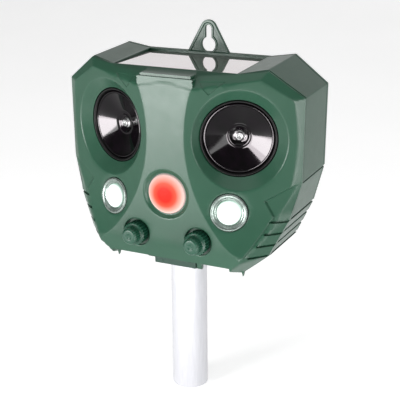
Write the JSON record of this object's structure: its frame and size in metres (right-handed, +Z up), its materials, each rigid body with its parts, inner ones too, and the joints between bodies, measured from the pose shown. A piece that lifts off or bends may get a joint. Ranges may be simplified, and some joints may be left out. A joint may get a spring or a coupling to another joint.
{
  "type": "ultrasonic pest repeller",
  "caption": "Solar garden pest repeller head with two speakers, motion lens, flash lights and dials, turning on a round stake tube.",
  "frame": {"origin": "centre of the stake tube's lower end", "axes": "+Z up along the stake, -Y the way the face looks, +X to the right seen from the front"},
  "size_m": [0.15, 0.0684, 0.2236],
  "materials": {
    "green_plastic": "fine moulded texture, semi-matte",
    "knob_green": "semi-matte, knurled",
    "speaker_black": "high gloss",
    "black_plastic": "satin",
    "flap_rubber": "soft matte",
    "steel": "bright",
    "stake_metal": "satin, light silver",
    "circuit_board": "solder mask",
    "led_white": "clear, lit",
    "led_chip": "phosphor",
    "led_reflector": "silvered",
    "pir_window": "milky, red glow",
    "solar_cells": "dark cells",
    "solar_glass": "clear and glossy",
    "cell_wrap": "shrink wrap"
  },
  "bodies": {
    "stake": {"stake_tube": "stake_metal", "stake_plug": "black_plastic"},
    "head": {"back_cover": "green_plastic", "battery_cell_1": "cell_wrap", "battery_cell_2": "cell_wrap", "battery_cell_3": "cell_wrap", "battery_contact_left": "steel", "battery_contact_right": "steel", "battery_door": "green_plastic", "battery_door_screw": "steel", "battery_tray": "black_plastic", "case_screw_lower_left": "steel", "case_screw_lower_right": "steel", "case_screw_upper_left": "steel", "case_screw_upper_right": "steel", "charging_socket": "steel", "flap_pin": "steel", "front_cover": "green_plastic", "led_bezel_left": "led_reflector", "led_bezel_right": "led_reflector", "led_board_left": "circuit_board", "led_board_right": "circuit_board", "led_chip_left": "led_chip", "led_chip_right": "led_chip", "led_lens_left": "led_white", "led_lens_right": "led_white", "main_board": "circuit_board", "main_housing": "green_plastic", "pir_board": "circuit_board", "pir_lens": "pir_window", "pir_sensor": "steel", "potentiometer_left": "black_plastic", "potentiometer_right": "black_plastic", "power_switch_body": "steel", "socket_board": "circuit_board", "solar_panel": "solar_cells", "solar_window": "solar_glass", "speaker_cone_left": "speaker_black", "speaker_cone_right": "speaker_black", "speaker_dome_left": "steel", "speaker_dome_right": "steel", "speaker_frame_left": "black_plastic", "speaker_frame_right": "black_plastic", "speaker_magnet_left": "steel", "speaker_magnet_right": "steel", "stake_socket": "black_plastic"},
    "knob_left": {"knob_left": "knob_green", "knob_shaft_left": "steel"},
    "knob_right": {"knob_right": "knob_green", "knob_shaft_right": "steel"},
    "switch_slider": {"power_switch_slider": "black_plastic"},
    "flap": {"weather_flap": "flap_rubber"}
  },
  "joints": [
    {"name": "head_turn", "type": "hinge", "parent": "stake", "child": "head", "pos_m": [0, 0, 0.12], "axis": [0, 0, 1], "range_deg": [-180, 180]},
    {"name": "left_dial", "type": "hinge", "parent": "head", "child": "knob_left", "pos_m": [-0.02, -0.0282, 0.1061], "axis": [0, -1, 0], "range_deg": [-135, 135]},
    {"name": "right_dial", "type": "hinge", "parent": "head", "child": "knob_right", "pos_m": [0.02, -0.0282, 0.1061], "axis": [0, -1, 0], "range_deg": [-135, 135]},
    {"name": "power_switch", "type": "slide", "parent": "head", "child": "switch_slider", "axis": [1, 0, 0], "range_m": [0, 0.003]},
    {"name": "flap_hinge", "type": "hinge", "parent": "head", "child": "flap", "pos_m": [0, -0.0132, 0.0846], "axis": [1, 0, 0], "range_deg": [0, 95]}
  ]
}
